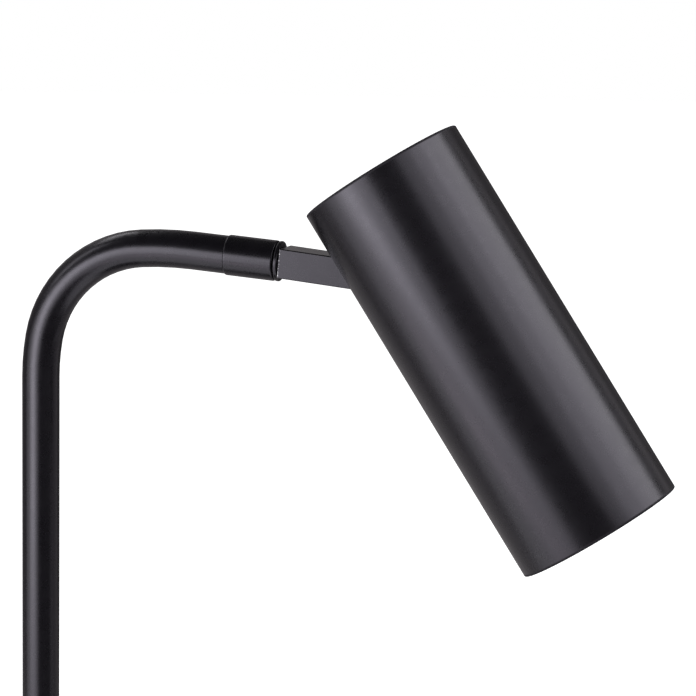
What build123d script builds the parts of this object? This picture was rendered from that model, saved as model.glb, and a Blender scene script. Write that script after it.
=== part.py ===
from build123d import *

import math
import os

# A piano lamp: weighted round base, bent tube stem, and a long cylindrical shade that swivels on the arm's
# end and tilts on a flat bar. Millimetres, +Z up, origin at the centre of the face the lamp rests on. The
# arm reaches along +X.

# ---------------------------------------------------------------- driving dimensions

# stem
STEM_OD = 13.0
STEM_WALL = 1.0
STEM_STRAIGHT = 317.0
# the bend eases in, turns tightly, then eases out into the arm, which ends up sloping a little down
BEND_RADII = (78.0, 39.0, 120.0)
BEND_ANGLES = (10.3, 75.5, 8.8)
ARM_STRAIGHT = 12.1

# base
BASE_DIAMETER = 180.0
BASE_TOP_Z = 20.0
COVER_WALL = 1.5
COVER_EDGE_RADIUS = 3.0
FELT_THICKNESS = 1.5
FELT_MARGIN = 3.0
PLATE_THICKNESS = 1.2
WEIGHT_THICKNESS = 10.5
WEIGHT_RIM_CLEARANCE = 1.0
WEIGHT_EDGE_CHAMFER = 3.0
WEIGHT_WEB = 3.0
WEIGHT_RECESS_RADIUS = 15.0
PLATE_RIM_CLEARANCE = 0.5
PLATE_BOSS_RADIUS = 6.0
PLATE_BOSS_CIRCLE = 60.0
PLATE_BOSS_ANGLES = (90.0, 210.0, 330.0)

# stem fixing
FOOT_FLANGE_RADIUS = 11.0
FOOT_FLANGE_HEIGHT = 3.0
FOOT_SPIGOT_LENGTH = 22.0
FOOT_STUD_RADIUS = 5.0
FOOT_STUD_LENGTH = 10.0
FOOT_BORE_RADIUS = 3.3
STEM_NUT_AF = 15.0
STEM_NUT_HEIGHT = 4.0
STEM_WASHER_RADIUS = 12.0
STEM_WASHER_THICKNESS = 1.0

# cord inlet at the back of the base
INLET_BORE_RADIUS = 3.3
INLET_BODY_RADIUS = 5.0
INLET_FLANGE_RADIUS = 7.0
INLET_FLANGE_THICKNESS = 1.5
INLET_LENGTH = 9.0
INLET_NUT_AF = 14.0
INLET_NUT_THICKNESS = 3.0
INLET_NOTCH_WIDTH = 20.0
INLET_NOTCH_DEPTH = 16.0

# push-button switch
SWITCH_EDGE_INSET = 32.0
SWITCH_LENGTH = 22.0
SWITCH_WIDTH = 16.0
SWITCH_HEIGHT = 11.5
SWITCH_FLOOR = 2.0
SWITCH_COLLAR_RADIUS = 6.0
SWITCH_COLLAR_PROUD = 2.6
SWITCH_NUT_RADIUS = 8.5
SWITCH_NUT_HEIGHT = 2.0
SWITCH_POCKET_CLEARANCE = 2.0
BUTTON_RADIUS = 4.3
BUTTON_PROUD = 3.4
BUTTON_TRAVEL = 2.5
BUTTON_CLEARANCE = 0.3
BUTTON_FLANGE_RADIUS = 5.2
BUTTON_FLANGE_THICKNESS = 1.2
BUTTON_SHOULDER_DEPTH = 1.5
BUTTON_GUIDE_RADIUS = 2.0
BUTTON_EDGE_RADIUS = 0.8
SPRING_RADIUS = 3.6
SPRING_WIRE = 0.7
SPRING_TURNS = 4.0
LUG_WIDTH = 3.0
LUG_THICKNESS = 0.8
LUG_LENGTH = 3.6
LUG_SPACING = 8.0
LUG_INSET = 3.0

# arm socket and swivel; distances run along the arm from the tube's end
SOCKET_OD = 13.8
SOCKET_LENGTH = 17.4
SOCKET_EDGE_RADIUS = 0.6
SPIGOT_BEND_CLEARANCE = 0.6
SOCKET_CHAMBER_RADIUS = 4.8
SOCKET_WALL_THICKNESS = 7.0
RING_OD = 13.7
RING_THICKNESS = 1.5
RING_EDGE_RADIUS = 0.5
RING_GAP = 0.3
NECK_LENGTH = 0.5
NECK_RADIUS = 4.6
HUB_RADIUS = 4.4
JOURNAL_RADIUS = 3.5
THREAD_RADIUS = 3.0
SPINDLE_BORE_RADIUS = 2.3
SPINDLE_TAIL = 7.0
SWIVEL_NUT_RADIUS = 4.5
SWIVEL_NUT_THICKNESS = 3.5
SWIVEL_WASHER_THICKNESS = 0.8
STOP_PIN_RADIUS = 0.6
STOP_PIN_CIRCLE = 5.4
STOP_PIN_PROUD = 0.9
STOP_PIN_SET_DEPTH = 4.0
STOP_WEB_ANGLE = 14.0
STOP_GROOVE_CLEARANCE = 0.3

# head bar
BAR_HEIGHT = 10.0
BAR_DEPTH = 14.0
BAR_TO_PIVOT = 32.3
BAR_DROOP_ANGLE = 1.4
BAR_CHANNEL_HEIGHT = 6.0
BAR_CHANNEL_DEPTH = 8.0
BAR_EDGE_RADIUS = 0.4
BAR_END_RADIUS = 0.35

# shade
SHADE_OD = 58.0
SHADE_WALL = 1.2
SHADE_LENGTH = 140.0
SHADE_RIM_RADIUS = 0.5
SHADE_TO_BAR_ANGLE = 50.8
PIVOT_BELOW_TOP = 28.7
PIVOT_TO_AXIS = 20.0
TILT_OUT_ANGLE = 15.0
TILT_IN_ANGLE = 60.0
SLOT_SIDE_CLEARANCE = 0.4
SLOT_END_CLEARANCE = 0.8
SLOT_CORNER_RADIUS = 1.0
CAP_RECESS = 0.8
CAP_THICKNESS = 2.0
CAP_VENT_RADIUS = 2.5
CAP_VENT_CIRCLE = 21.0
CAP_VENT_ANGLES = (-36.0, 0.0, 36.0, 144.0, 180.0, 216.0)
CAP_STUD_RADIUS = 1.5
CAP_STUD_LENGTH = 6.0
CAP_STUD_SPACING = 28.0
CAP_NUT_AF = 5.5
CAP_NUT_HEIGHT = 2.4

# tilt joint inside the shade
BRACKET_SHEET = 1.5
BRACKET_CHEEK_X = 8.0
BRACKET_LOBE_RADIUS = 5.5
BRACKET_WEB_X = 13.5
BRACKET_FLANGE_REACH = 10.0
BRACKET_TO_BULB = 50.0
BRACKET_LEAD_HOLE_RADIUS = 4.0
FRICTION_WASHER_THICKNESS = 0.5
FRICTION_WASHER_RADIUS = 5.0
PIVOT_SHOULDER_RADIUS = 2.5
PIVOT_THREAD_RADIUS = 2.0
PIVOT_THREAD_LENGTH = 2.6
PIVOT_HEAD_RADIUS = 4.0
PIVOT_HEAD_HEIGHT = 2.0
SPRING_WASHER_THICKNESS = 0.6
SPRING_WASHER_RADIUS = 4.4

# lampholder and bulb
HOLDER_RADIUS = 13.5
HOLDER_HEIGHT = 16.0
HOLDER_SCREW_SPACING = 18.0
HOLDER_SCREW_RADIUS = 1.5
HOLDER_SCREW_HEAD_RADIUS = 2.8
HOLDER_SCREW_HEAD_HEIGHT = 2.0
HOLDER_SCREW_DEPTH = 8.0
HOLDER_LEAD_DEPTH = 3.0
PIN_SPACING = 10.0
PIN_RADIUS = 1.4
PIN_HEAD_RADIUS = 2.4
PIN_HEAD_LENGTH = 2.5
PIN_LENGTH = 7.0
PIN_HOLE_CLEARANCE = 0.3
BULB_LENGTH = 48.5
BULB_NECK_RADIUS = 10.5
BULB_NECK_LENGTH = 13.0
BULB_FACE_RADIUS = 25.0
BULB_RIM_LENGTH = 4.0
BULB_BOWL = 2.0
BULB_LIP = 1.8
LENS_RECESS = 0.8
LENS_THICKNESS = 2.2

# leads
LEAD_RADIUS = 0.9
LEAD_SPACING = 2.2
LEAD_BASE_Z = 5.2
LEAD_FAN_X = (20.0, 36.0)
LEAD_FAN_RADIUS = 20.0
LEAD_FOOT_RADIUS = 6.0
LEAD_HOLDER_RADIUS = 12.0

# screws and fits
M3_HOLE_RADIUS = 1.7
M4_RADIUS = 2.0
M4_HOLE_RADIUS = 2.25
M4_HEAD_RADIUS = 3.8
M4_HEAD_HEIGHT = 1.3
M4_HEAD_CHAMFER = 0.3
DRIVER_SLOT_WIDTH = 0.8
DRIVER_SLOT_REACH = 1.7
DRIVER_SLOT_DEPTH = 0.8
FELT_HOLE_CLEARANCE = 0.7
SCREW_LENGTH = 8.0
STUD_HOLE_CLEARANCE = 0.2
RUNNING_FIT = 0.05
THREAD_FIT = 0.02
PRESS_SEAT = 0.02

# ---------------------------------------------------------------- sizes worked out from them

PLATE_Z = FELT_THICKNESS
PLATE_TOP_Z = PLATE_Z + PLATE_THICKNESS
COVER_UNDER_Z = BASE_TOP_Z - COVER_WALL
WEIGHT_Z = COVER_UNDER_Z - WEIGHT_THICKNESS
RECESS_Z = COVER_UNDER_Z - WEIGHT_WEB
COVER_INNER_RADIUS = BASE_DIAMETER / 2 - COVER_WALL
PLATE_RADIUS = COVER_INNER_RADIUS - PLATE_RIM_CLEARANCE
INLET_Z = (PLATE_TOP_Z + COVER_UNDER_Z) / 2

STEM_RADIUS = STEM_OD / 2
STEM_BORE_RADIUS = STEM_RADIUS - STEM_WALL
STEM_BASE_Z = BASE_TOP_Z + FOOT_FLANGE_HEIGHT
BEND_START_Z = STEM_BASE_Z + STEM_STRAIGHT

SWITCH_X = BASE_DIAMETER / 2 - SWITCH_EDGE_INSET
SWITCH_Z = COVER_UNDER_Z - SWITCH_HEIGHT
SWITCH_COLLAR_TOP = BASE_TOP_Z + SWITCH_COLLAR_PROUD
BUTTON_SHOULDER_Z = COVER_UNDER_Z - BUTTON_SHOULDER_DEPTH
BUTTON_BORE_RADIUS = BUTTON_RADIUS + BUTTON_CLEARANCE
BUTTON_CHAMBER_RADIUS = BUTTON_FLANGE_RADIUS + BUTTON_CLEARANCE
BUTTON_FLANGE_Z = BUTTON_SHOULDER_Z - BUTTON_FLANGE_THICKNESS
CHAMBER_FLOOR_Z = SWITCH_Z + SWITCH_FLOOR

SOCKET_RADIUS = SOCKET_OD / 2
SPIGOT_LENGTH = ARM_STRAIGHT - SPIGOT_BEND_CLEARANCE
RING_RADIUS = RING_OD / 2
RING_START = SOCKET_LENGTH + RING_GAP
RING_END = RING_START + RING_THICKNESS
NECK_END = RING_END + NECK_LENGTH
SOCKET_FACE_BACK = SOCKET_LENGTH - SOCKET_WALL_THICKNESS

SHADE_RADIUS = SHADE_OD / 2
SHADE_BORE_RADIUS = SHADE_RADIUS - SHADE_WALL
CAP_UNDER = CAP_RECESS + CAP_THICKNESS
HOLDER_TOP = BRACKET_TO_BULB + BRACKET_SHEET
HOLDER_FACE = HOLDER_TOP + HOLDER_HEIGHT
BULB_FACE = HOLDER_FACE + BULB_LENGTH
CHEEK_Y = BAR_DEPTH / 2 + FRICTION_WASHER_THICKNESS
CHEEK_OUTER_Y = CHEEK_Y + BRACKET_SHEET


# ---------------------------------------------------------------- frames and paths


def heading(degrees_from_up):
    """Unit vector in the XZ plane, turned from +Z towards +X."""
    angle = math.radians(degrees_from_up)
    return Vector(math.sin(angle), 0, math.cos(angle))


def frame_along(origin, direction):
    """Frame with local +Z along a direction in the XZ plane and local +Y along the lamp's +Y."""
    return Plane(origin=origin, x_dir=Vector(0, 1, 0).cross(direction), z_dir=direction)


def stem_bend(y):
    """Arcs of the stem's bend at a distance from its middle plane, and their end point and heading."""
    point = Vector(0, y, BEND_START_Z)
    angle = 0.0
    arcs = []
    for radius, turn in zip(BEND_RADII, BEND_ANGLES):
        centre = point + heading(angle + 90) * radius
        middle = centre - heading(angle + turn / 2 + 90) * radius
        angle += turn
        end = centre - heading(angle + 90) * radius
        arcs.append(ThreePointArc(point, middle, end))
        point = end
    return arcs, point, angle


def crossing(point_a, direction_a, point_b, direction_b):
    """Where two lines in the XZ plane cross."""
    across = direction_a.Z * direction_b.X - direction_a.X * direction_b.Z
    gap = point_b - point_a
    return point_a + direction_a * ((gap.Z * direction_b.X - gap.X * direction_b.Z) / across)


_, BEND_END, ARM_TURN = stem_bend(0)
ARM_DIRECTION = heading(ARM_TURN)
ARM_END = BEND_END + ARM_DIRECTION * ARM_STRAIGHT
ARM = frame_along(ARM_END, ARM_DIRECTION)

BAR_START = ARM_END + ARM_DIRECTION * NECK_END
BAR_DIRECTION = heading(ARM_TURN + BAR_DROOP_ANGLE)
BAR = frame_along(BAR_START, BAR_DIRECTION)
PIVOT = BAR_START + BAR_DIRECTION * BAR_TO_PIVOT

SHADE_DIRECTION = heading(ARM_TURN + BAR_DROOP_ANGLE + SHADE_TO_BAR_ANGLE)
SHADE_X = Vector(0, 1, 0).cross(SHADE_DIRECTION)
SHADE_TOP = PIVOT - SHADE_X * PIVOT_TO_AXIS - SHADE_DIRECTION * PIVOT_BELOW_TOP
SHADE = frame_along(SHADE_TOP, SHADE_DIRECTION)


# ---------------------------------------------------------------- shape helpers


def turned(*profile):
    """Solid turned about Z from (radius, height) points."""
    return revolve(Plane.XZ * make_face(Polyline(*profile, close=True)), Axis.Z)


def rod(radius, low, high, x=0.0, y=0.0):
    """Cylinder along Z between two heights."""
    return Pos(x, y, low) * extrude(Circle(radius), high - low)


def washer(outer, inner, low, high):
    """Flat ring about Z between two heights."""
    return rod(outer, low, high) - rod(inner, low, high)


def block(x_range, y_range, z_range):
    """Box between limits."""
    size = [high - low for low, high in (x_range, y_range, z_range)]
    corner = (x_range[0], y_range[0], z_range[0])
    return Pos(*corner) * Box(*size, align=(Align.MIN, Align.MIN, Align.MIN))


def hexagon(across_flats, low, high):
    """Hexagonal prism about Z between two heights."""
    return Pos(0, 0, low) * extrude(RegularPolygon(across_flats / 2, 6, major_radius=False), high - low)


def driver_cross(low, x=0.0, y=0.0):
    """Two crossed slots for a driver, from a head's underside up."""
    half = DRIVER_SLOT_WIDTH / 2
    reach = DRIVER_SLOT_REACH
    span = (low, low + DRIVER_SLOT_DEPTH)
    return block((x - half, x + half), (y - reach, y + reach), span) + block(
        (x - reach, x + reach), (y - half, y + half), span
    )


def around(radius, angles):
    """Places on a circle about Z, as (x, y), at angles in degrees from +X."""
    return [(radius * math.cos(math.radians(a)), radius * math.sin(math.radians(a))) for a in angles]


def both_sides(solid):
    """A solid and its mirror image across the lamp's middle plane."""
    return [solid, mirror(solid, Plane.XZ)]


def group(solids):
    """Several separate solids as one node."""
    return Compound(children=list(solids))


# ---------------------------------------------------------------- base


def base_cover():
    """Spun steel cover with holes for the stem's stud, the switch and the cord inlet."""
    rim = BASE_DIAMETER / 2
    outer = turned((0, PLATE_Z), (rim, PLATE_Z), (rim, BASE_TOP_Z), (0, BASE_TOP_Z))
    outer = fillet(outer.edges().group_by(Axis.Z)[-1], COVER_EDGE_RADIUS)
    wall = COVER_INNER_RADIUS
    inner = turned((0, PLATE_Z), (wall, PLATE_Z), (wall, COVER_UNDER_Z), (0, COVER_UNDER_Z))
    inner = fillet(inner.edges().group_by(Axis.Z)[-1], COVER_EDGE_RADIUS - COVER_WALL)
    cover = outer - inner
    cover -= rod(FOOT_STUD_RADIUS + STUD_HOLE_CLEARANCE, COVER_UNDER_Z, BASE_TOP_Z)
    cover -= rod(SWITCH_COLLAR_RADIUS + STUD_HOLE_CLEARANCE, COVER_UNDER_Z, BASE_TOP_Z, x=SWITCH_X)
    inlet_hole = rod(INLET_BODY_RADIUS + STUD_HOLE_CLEARANCE, 0, INLET_NOTCH_DEPTH)
    return cover - inlet_frame() * inlet_hole


def inlet_frame():
    """Frame of the cord inlet: local +Z points in through the back of the base."""
    return Plane(origin=(-BASE_DIAMETER / 2, 0, INLET_Z), x_dir=(0, 1, 0), z_dir=(1, 0, 0))


def boss_places():
    """Where the bottom plate's screws stand."""
    return around(PLATE_BOSS_CIRCLE, PLATE_BOSS_ANGLES)


def base_weight():
    """Cast-iron disc with a nut recess, a switch pocket, an inlet notch and three screw bosses."""
    radius = COVER_INNER_RADIUS - WEIGHT_RIM_CLEARANCE
    shoulder = COVER_UNDER_Z - WEIGHT_EDGE_CHAMFER
    weight = turned(
        (0, WEIGHT_Z),
        (radius, WEIGHT_Z),
        (radius, shoulder),
        (radius - WEIGHT_EDGE_CHAMFER, COVER_UNDER_Z),
        (0, COVER_UNDER_Z),
    )
    for x, y in boss_places():
        weight += rod(PLATE_BOSS_RADIUS, PLATE_TOP_Z, WEIGHT_Z, x, y)
    for x, y in boss_places():
        weight -= rod(M4_RADIUS + THREAD_FIT, PLATE_TOP_Z, PLATE_TOP_Z + SCREW_LENGTH, x, y)
    weight -= rod(WEIGHT_RECESS_RADIUS, WEIGHT_Z, RECESS_Z)
    weight -= rod(FOOT_STUD_RADIUS + STUD_HOLE_CLEARANCE, RECESS_Z, COVER_UNDER_Z)
    pocket_x = SWITCH_LENGTH / 2 + SWITCH_POCKET_CLEARANCE
    pocket_y = SWITCH_WIDTH / 2 + SWITCH_POCKET_CLEARANCE
    through = (WEIGHT_Z, COVER_UNDER_Z)
    weight -= block((SWITCH_X - pocket_x, SWITCH_X + pocket_x), (-pocket_y, pocket_y), through)
    notch_y = INLET_NOTCH_WIDTH / 2
    notch_x = INLET_NOTCH_DEPTH - BASE_DIAMETER / 2
    return weight - block((-BASE_DIAMETER / 2, notch_x), (-notch_y, notch_y), through)


def base_plate():
    """Bottom sheet inside the cover's rim."""
    plate = rod(PLATE_RADIUS, PLATE_Z, PLATE_TOP_Z)
    for x, y in boss_places():
        plate -= rod(M4_HOLE_RADIUS, PLATE_Z, PLATE_TOP_Z, x, y)
    return plate


def felt_pad():
    """Felt disc that the lamp rests on, with holes over the screw heads."""
    pad = rod(PLATE_RADIUS - FELT_MARGIN, 0, FELT_THICKNESS)
    for x, y in boss_places():
        pad -= rod(M4_HEAD_RADIUS + FELT_HOLE_CLEARANCE, 0, FELT_THICKNESS, x, y)
    return pad


def base_plate_screws():
    """Three low-headed screws up into the weight's bosses."""
    screws = []
    for x, y in boss_places():
        face = PLATE_Z - M4_HEAD_HEIGHT
        head = rod(M4_HEAD_RADIUS, face, PLATE_Z, x, y)
        head = chamfer(head.edges().group_by(Axis.Z)[0], M4_HEAD_CHAMFER) - driver_cross(face, x, y)
        screws.append(head + rod(M4_RADIUS, PLATE_Z, PLATE_Z + SCREW_LENGTH, x, y))
    return group(screws)


def cord_inlet_bush():
    """Flanged bush that the cord passes through."""
    bush = turned(
        (INLET_BORE_RADIUS, -INLET_FLANGE_THICKNESS),
        (INLET_FLANGE_RADIUS, -INLET_FLANGE_THICKNESS),
        (INLET_FLANGE_RADIUS, 0),
        (INLET_BODY_RADIUS, 0),
        (INLET_BODY_RADIUS, INLET_LENGTH),
        (INLET_BORE_RADIUS, INLET_LENGTH),
    )
    bush = chamfer(bush.edges().group_by(Axis.Z)[0], INLET_FLANGE_THICKNESS / 3)
    return inlet_frame() * bush


def cord_inlet_nut():
    """Hexagonal nut that holds the bush from inside the cover."""
    corner_radius = INLET_NUT_AF / math.sqrt(3)
    seat = BASE_DIAMETER / 2 - math.sqrt(COVER_INNER_RADIUS**2 - corner_radius**2)
    nut = hexagon(INLET_NUT_AF, seat, seat + INLET_NUT_THICKNESS)
    return inlet_frame() * (nut - rod(INLET_BODY_RADIUS + THREAD_FIT, seat, seat + INLET_NUT_THICKNESS))


# ---------------------------------------------------------------- stem and its fixing


def stem_foot():
    """Flange, spigot and hollow stud that fasten the stem to the base."""
    stud_end = BASE_TOP_Z - FOOT_STUD_LENGTH
    flange_edge = FOOT_FLANGE_HEIGHT / 4
    spigot = STEM_BORE_RADIUS - PRESS_SEAT
    return turned(
        (FOOT_BORE_RADIUS, stud_end),
        (FOOT_STUD_RADIUS, stud_end),
        (FOOT_STUD_RADIUS, BASE_TOP_Z),
        (FOOT_FLANGE_RADIUS, BASE_TOP_Z),
        (FOOT_FLANGE_RADIUS, STEM_BASE_Z - flange_edge),
        (FOOT_FLANGE_RADIUS - flange_edge, STEM_BASE_Z),
        (spigot, STEM_BASE_Z),
        (spigot, STEM_BASE_Z + FOOT_SPIGOT_LENGTH),
        (FOOT_BORE_RADIUS, STEM_BASE_Z + FOOT_SPIGOT_LENGTH),
    )


def stem_washer():
    """Washer under the base weight's web."""
    hole = FOOT_STUD_RADIUS + STUD_HOLE_CLEARANCE
    return washer(STEM_WASHER_RADIUS, hole, RECESS_Z - STEM_WASHER_THICKNESS, RECESS_Z)


def stem_nut():
    """Nut that pulls the stem's foot down onto the base."""
    top = RECESS_Z - STEM_WASHER_THICKNESS
    low = top - STEM_NUT_HEIGHT
    return hexagon(STEM_NUT_AF, low, top) - rod(FOOT_STUD_RADIUS + THREAD_FIT, low, top)


def stem_path():
    """Centre line of the stem from the base flange to the arm's end."""
    arcs, _, _ = stem_bend(0)
    return Wire([Line((0, 0, STEM_BASE_Z), (0, 0, BEND_START_Z)), *arcs, Line(BEND_END, ARM_END)])


def stem_tube():
    """Bent steel tube."""
    path = stem_path()
    start = Plane(origin=(0, 0, STEM_BASE_Z))
    outer = sweep(start * Circle(STEM_RADIUS), path)
    return outer - sweep(start * Circle(STEM_BORE_RADIUS), path)


# ---------------------------------------------------------------- arm socket and swivel, along the arm


def arm_socket():
    """Turned sleeve in the arm's end, rounded at both ends and bored for the swivel's spindle."""
    spigot = STEM_BORE_RADIUS - PRESS_SEAT
    bearing = JOURNAL_RADIUS + RUNNING_FIT
    socket = turned(
        (SOCKET_CHAMBER_RADIUS, -SPIGOT_LENGTH),
        (spigot, -SPIGOT_LENGTH),
        (spigot, 0),
        (SOCKET_RADIUS, 0),
        (SOCKET_RADIUS, SOCKET_LENGTH),
        (bearing, SOCKET_LENGTH),
        (bearing, SOCKET_FACE_BACK),
        (SOCKET_CHAMBER_RADIUS, SOCKET_FACE_BACK),
    )
    rims = socket.edges().filter_by(GeomType.CIRCLE).sort_by(lambda edge: edge.radius)[-2:]
    socket = fillet(rims, SOCKET_EDGE_RADIUS)
    pin_low = SOCKET_LENGTH - STOP_PIN_SET_DEPTH
    return ARM * (socket - rod(STOP_PIN_RADIUS + THREAD_FIT, pin_low, SOCKET_LENGTH, x=STOP_PIN_CIRCLE))


def stop_pin():
    """Pin in the socket's face that ends the swivel's turn."""
    return ARM * rod(
        STOP_PIN_RADIUS, SOCKET_LENGTH - STOP_PIN_SET_DEPTH, SOCKET_LENGTH + STOP_PIN_PROUD, x=STOP_PIN_CIRCLE
    )


def stop_groove():
    """Groove in the ring that the stop pin runs in, broken by a web opposite the pin."""
    wide = STOP_PIN_RADIUS + STOP_GROOVE_CLEARANCE
    depth = STOP_PIN_PROUD - RING_GAP + STOP_GROOVE_CLEARANCE
    profile = Plane.XZ * Pos(STOP_PIN_CIRCLE, RING_START + depth / 2) * Rectangle(2 * wide, depth)
    groove = revolve(profile, Axis.Z, 360 - STOP_WEB_ANGLE)
    return Rot(0, 0, 180 + STOP_WEB_ANGLE / 2) * groove


def swivel_core():
    """Ring, short neck and hollow spindle that turn in the socket."""
    core = turned(
        (SPINDLE_BORE_RADIUS, SOCKET_FACE_BACK - SPINDLE_TAIL),
        (THREAD_RADIUS, SOCKET_FACE_BACK - SPINDLE_TAIL),
        (THREAD_RADIUS, SOCKET_FACE_BACK),
        (JOURNAL_RADIUS, SOCKET_FACE_BACK),
        (JOURNAL_RADIUS, SOCKET_LENGTH),
        (HUB_RADIUS, SOCKET_LENGTH),
        (HUB_RADIUS, RING_START),
        (RING_RADIUS, RING_START),
        (RING_RADIUS, RING_END),
        (NECK_RADIUS, RING_END),
        (NECK_RADIUS, NECK_END),
        (SPINDLE_BORE_RADIUS, NECK_END),
    )
    rim = core.edges().filter_by(GeomType.CIRCLE).sort_by(lambda edge: edge.radius)[-2:]
    return ARM * (fillet(rim, RING_EDGE_RADIUS) - stop_groove())


def swivel_washer():
    """Spring washer behind the socket's wall."""
    back = SOCKET_FACE_BACK - SWIVEL_WASHER_THICKNESS
    return ARM * washer(SWIVEL_NUT_RADIUS, THREAD_RADIUS + RUNNING_FIT, back, SOCKET_FACE_BACK)


def swivel_nut():
    """Round nut with two driver slots that keeps the spindle in the socket."""
    front = SOCKET_FACE_BACK - SWIVEL_WASHER_THICKNESS
    back = front - SWIVEL_NUT_THICKNESS
    nut = washer(SWIVEL_NUT_RADIUS, THREAD_RADIUS + THREAD_FIT, back, front)
    slot_depth = SWIVEL_NUT_THICKNESS / 3
    half = SWIVEL_NUT_RADIUS / 6
    reach = SWIVEL_NUT_RADIUS
    return ARM * (nut - block((-half, half), (-reach, reach), (back, back + slot_depth)))


# ---------------------------------------------------------------- head bar and tilt joint


def head_bar():
    """Hollow rectangular bar, cut square to the neck at one end and rounded about the pivot at the other."""
    half_height = BAR_HEIGHT / 2
    half_depth = BAR_DEPTH / 2
    overrun = BAR_HEIGHT * math.tan(math.radians(BAR_DROOP_ANGLE))
    side = Rectangle(BAR_HEIGHT, BAR_TO_PIVOT + overrun, align=(Align.CENTER, Align.MIN))
    outline = Pos(0, -overrun) * side + Pos(0, BAR_TO_PIVOT) * Circle(half_height)
    middle = Plane(origin=(0, 0, 0), x_dir=(1, 0, 0), z_dir=(0, -1, 0))
    bar = middle * extrude(outline, half_depth, both=True)
    long_edges = bar.edges().filter_by(Axis.Z)
    bar = fillet(long_edges, BAR_EDGE_RADIUS)
    channel_end = BAR_TO_PIVOT + half_height
    half_channel = BAR_CHANNEL_HEIGHT / 2
    half_width = BAR_CHANNEL_DEPTH / 2
    bar -= block((-half_channel, half_channel), (-half_width, half_width), (-overrun, channel_end))
    pivot_hole = Rot(90, 0, 0) * rod(PIVOT_THREAD_RADIUS + THREAD_FIT, -half_depth, half_depth)
    bar -= Pos(0, 0, BAR_TO_PIVOT) * pivot_hole
    past_neck = ARM * block((-BAR_HEIGHT, BAR_HEIGHT), (-BAR_DEPTH, BAR_DEPTH), (RING_START, NECK_END))
    bar = BAR * bar - past_neck
    end_face = bar.faces().sort_by(Axis(ARM_END, ARM_DIRECTION))[0]
    return fillet(end_face.outer_wire().edges(), BAR_END_RADIUS)


def at_pivot(solid):
    """A part drawn about Z from the middle plane, laid along the tilt axis towards the front."""
    return Pos(*PIVOT) * Rot(90, 0, 0) * solid


def friction_washers():
    """Fibre washers between the bar and the bracket's cheeks."""
    inner = PIVOT_SHOULDER_RADIUS + THREAD_FIT
    ring = washer(FRICTION_WASHER_RADIUS, inner, BAR_DEPTH / 2, CHEEK_Y)
    return group(both_sides(at_pivot(ring)))


def pivot_spring_washers():
    """Spring washers under the pivot screws' heads."""
    inner = PIVOT_SHOULDER_RADIUS + THREAD_FIT
    ring = washer(SPRING_WASHER_RADIUS, inner, CHEEK_OUTER_Y, CHEEK_OUTER_Y + SPRING_WASHER_THICKNESS)
    return group(both_sides(at_pivot(ring)))


def pivot_screws():
    """Shoulder screws that the shade tilts on, one from each side."""
    head_low = CHEEK_OUTER_Y + SPRING_WASHER_THICKNESS
    head_high = head_low + PIVOT_HEAD_HEIGHT
    bar_face = BAR_DEPTH / 2
    screw = rod(PIVOT_THREAD_RADIUS, bar_face - PIVOT_THREAD_LENGTH, bar_face)
    screw += rod(PIVOT_SHOULDER_RADIUS, bar_face, head_low)
    head = rod(PIVOT_HEAD_RADIUS, head_low, head_high)
    head = chamfer(head.edges().group_by(Axis.Z)[-1], PIVOT_HEAD_HEIGHT / 4)
    slot_half = PIVOT_HEAD_RADIUS / 8
    reach = PIVOT_HEAD_RADIUS
    slot_low = head_high - PIVOT_HEAD_HEIGHT / 2
    screw += head - block((-slot_half, slot_half), (-reach, reach), (slot_low, head_high))
    return group(both_sides(at_pivot(screw)))


def cheek():
    """One side of the tilt bracket: a straight strip that swells round the pivot hole."""
    length = BRACKET_TO_BULB - CAP_UNDER + BRACKET_SHEET
    strip = Pos(0, CAP_UNDER) * Rectangle(2 * BRACKET_CHEEK_X, length, align=(Align.CENTER, Align.MIN))
    lobe = Pos(PIVOT_TO_AXIS, PIVOT_BELOW_TOP) * Circle(BRACKET_LOBE_RADIUS)
    root_z = 2 * BRACKET_LOBE_RADIUS
    root = Pos(0, PIVOT_BELOW_TOP) * Rectangle(2 * BRACKET_CHEEK_X, 2 * root_z)
    gusset = make_hull(root.edges() + lobe.edges())
    hole = Pos(PIVOT_TO_AXIS, PIVOT_BELOW_TOP) * Circle(PIVOT_SHOULDER_RADIUS + RUNNING_FIT)
    side = Plane(origin=(0, CHEEK_Y, 0), x_dir=(1, 0, 0), z_dir=(0, -1, 0))
    return side * extrude(strip + gusset - hole, -BRACKET_SHEET)


def tilt_bracket():
    """Bent sheet bracket: two cheeks for the pivot, a web for the lampholder and two flanges for the cap."""
    flange_y = CHEEK_OUTER_Y + BRACKET_FLANGE_REACH
    flange_z = CAP_UNDER + BRACKET_SHEET
    web_z = (BRACKET_TO_BULB, HOLDER_TOP)
    web = block((-BRACKET_WEB_X, BRACKET_WEB_X), (-CHEEK_OUTER_Y, CHEEK_OUTER_Y), web_z)
    web = fillet(web.edges().filter_by(Axis.Z), BRACKET_SHEET)
    half = cheek() + block((-BRACKET_CHEEK_X, BRACKET_CHEEK_X), (CHEEK_Y, flange_y), (CAP_UNDER, flange_z))
    bracket = web + half + mirror(half, Plane.XZ)
    bracket -= rod(BRACKET_LEAD_HOLE_RADIUS, *web_z)
    for side in (-1, 1):
        bracket -= rod(M3_HOLE_RADIUS, *web_z, x=side * HOLDER_SCREW_SPACING / 2)
        bracket -= rod(M3_HOLE_RADIUS, CAP_UNDER, flange_z, y=side * CAP_STUD_SPACING / 2)
    return SHADE * bracket


# ---------------------------------------------------------------- shade, lampholder and bulb, along the shade


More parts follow.
